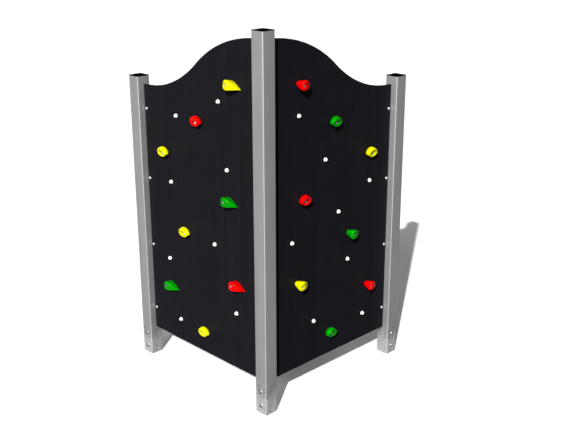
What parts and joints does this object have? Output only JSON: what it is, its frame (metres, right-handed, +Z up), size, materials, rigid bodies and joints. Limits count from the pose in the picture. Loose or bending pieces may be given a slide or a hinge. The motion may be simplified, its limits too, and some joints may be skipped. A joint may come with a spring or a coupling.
{
  "type": "rock climbing wall",
  "caption": "Free-standing corner climbing wall: square metal posts in an L, dark panels with a wave-shaped top edge, and coloured bolt-on holds on both sides.",
  "frame": {"origin": "on the ground, in the middle of the bounding box of the three feet", "axes": "+Z up; -Y towards the front post at the outer corner; +X to the right for someone facing that corner"},
  "size_m": [1.907, 1.0218, 2.523],
  "materials": {
    "post_aluminium": "matt grey extruded aluminium",
    "rail_aluminium": "mill-finish aluminium angle",
    "foot_galvanised": "hot-dip galvanised steel, lightly mottled",
    "cap_black": "moulded black plastic",
    "panel_black": "black plastic sheet with a fine texture",
    "hold_yellow": "cast resin, slightly glossy",
    "hold_red": "cast resin, slightly glossy",
    "hold_green": "cast resin, slightly glossy",
    "fastener_steel": "bright zinc-plated or stainless steel",
    "cap_white": "white moulded plastic bolt cover"
  },
  "bodies": {
    "root": {"cap_front": "cap_black", "cap_left": "cap_black", "cap_right": "cap_black", "foot_bolt_front_lower": "fastener_steel", "foot_bolt_front_upper": "fastener_steel", "foot_bolt_left_lower": "fastener_steel", "foot_bolt_left_upper": "fastener_steel", "foot_bolt_right_lower": "fastener_steel", "foot_bolt_right_upper": "fastener_steel", "hold_left_back_1": "hold_green", "hold_left_back_2": "hold_red", "hold_left_back_3": "hold_yellow", "hold_left_back_4": "hold_red", "hold_left_back_5": "hold_green", "hold_left_back_6": "hold_yellow", "hold_left_back_7": "hold_red", "hold_left_back_8": "hold_green", "hold_left_front_1": "hold_yellow", "hold_left_front_2": "hold_red", "hold_left_front_3": "hold_yellow", "hold_left_front_4": "hold_green", "hold_left_front_5": "hold_yellow", "hold_left_front_6": "hold_green", "hold_left_front_7": "hold_red", "hold_left_front_8": "hold_yellow", "hold_right_back_1": "hold_yellow", "hold_right_back_2": "hold_red", "hold_right_back_3": "hold_green", "hold_right_back_4": "hold_yellow", "hold_right_back_5": "hold_green", "hold_right_back_6": "hold_red", "hold_right_back_7": "hold_yellow", "hold_right_back_8": "hold_red", "hold_right_front_1": "hold_red", "hold_right_front_2": "hold_green", "hold_right_front_3": "hold_yellow", "hold_right_front_4": "hold_red", "hold_right_front_5": "hold_green", "hold_right_front_6": "hold_red", "hold_right_front_7": "hold_yellow", "hold_right_front_8": "hold_green", "panel_left": "panel_black", "panel_right": "panel_black", "post_front": "post_aluminium", "post_left": "post_aluminium", "post_right": "post_aluminium", "rail_left_low": "rail_aluminium", "rail_left_tall": "rail_aluminium", "rail_right_low": "rail_aluminium", "rail_right_tall": "rail_aluminium", "shoe_front": "foot_galvanised", "shoe_left": "foot_galvanised", "shoe_right": "foot_galvanised", "spigot_front": "foot_galvanised", "spigot_left": "foot_galvanised", "spigot_right": "foot_galvanised"}
  },
  "joints": []
}
